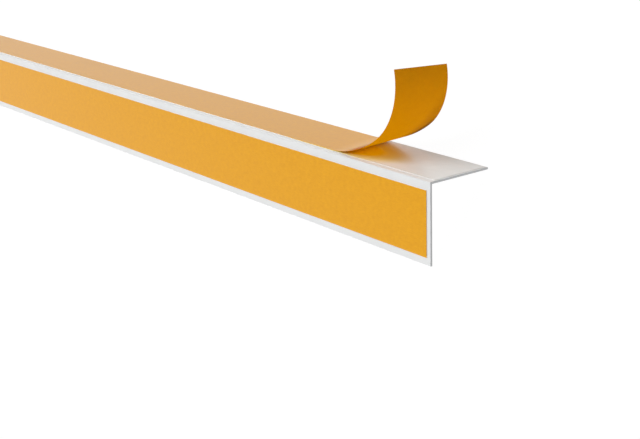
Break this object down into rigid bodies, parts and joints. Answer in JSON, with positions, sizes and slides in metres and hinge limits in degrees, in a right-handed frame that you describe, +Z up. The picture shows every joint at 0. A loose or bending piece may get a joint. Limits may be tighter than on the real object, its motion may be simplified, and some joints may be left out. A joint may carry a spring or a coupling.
{
  "type": "corner guard moulding",
  "caption": "Long white plastic angle moulding with adhesive tape on both outer faces under amber release liner, one liner peeled up at the end, for covering a wall corner.",
  "frame": {"origin": "on the floor, under the middle of the whole part's box", "axes": "+X along the stock towards the end with the peeled liner, +Z up with the ridge on top, -Y towards the front leg"},
  "size_m": [1, 0.1084, 0.0701],
  "materials": {
    "white_pvc": "smooth satin extruded PVC",
    "clear_tape": "clear glossy acrylic adhesive film",
    "amber_liner": "siliconised amber glassine paper, slight sheen"
  },
  "bodies": {
    "root": {"angle_profile": "white_pvc", "front_adhesive": "clear_tape", "top_adhesive": "clear_tape", "front_liner": "amber_liner", "top_liner": "amber_liner"}
  },
  "joints": []
}
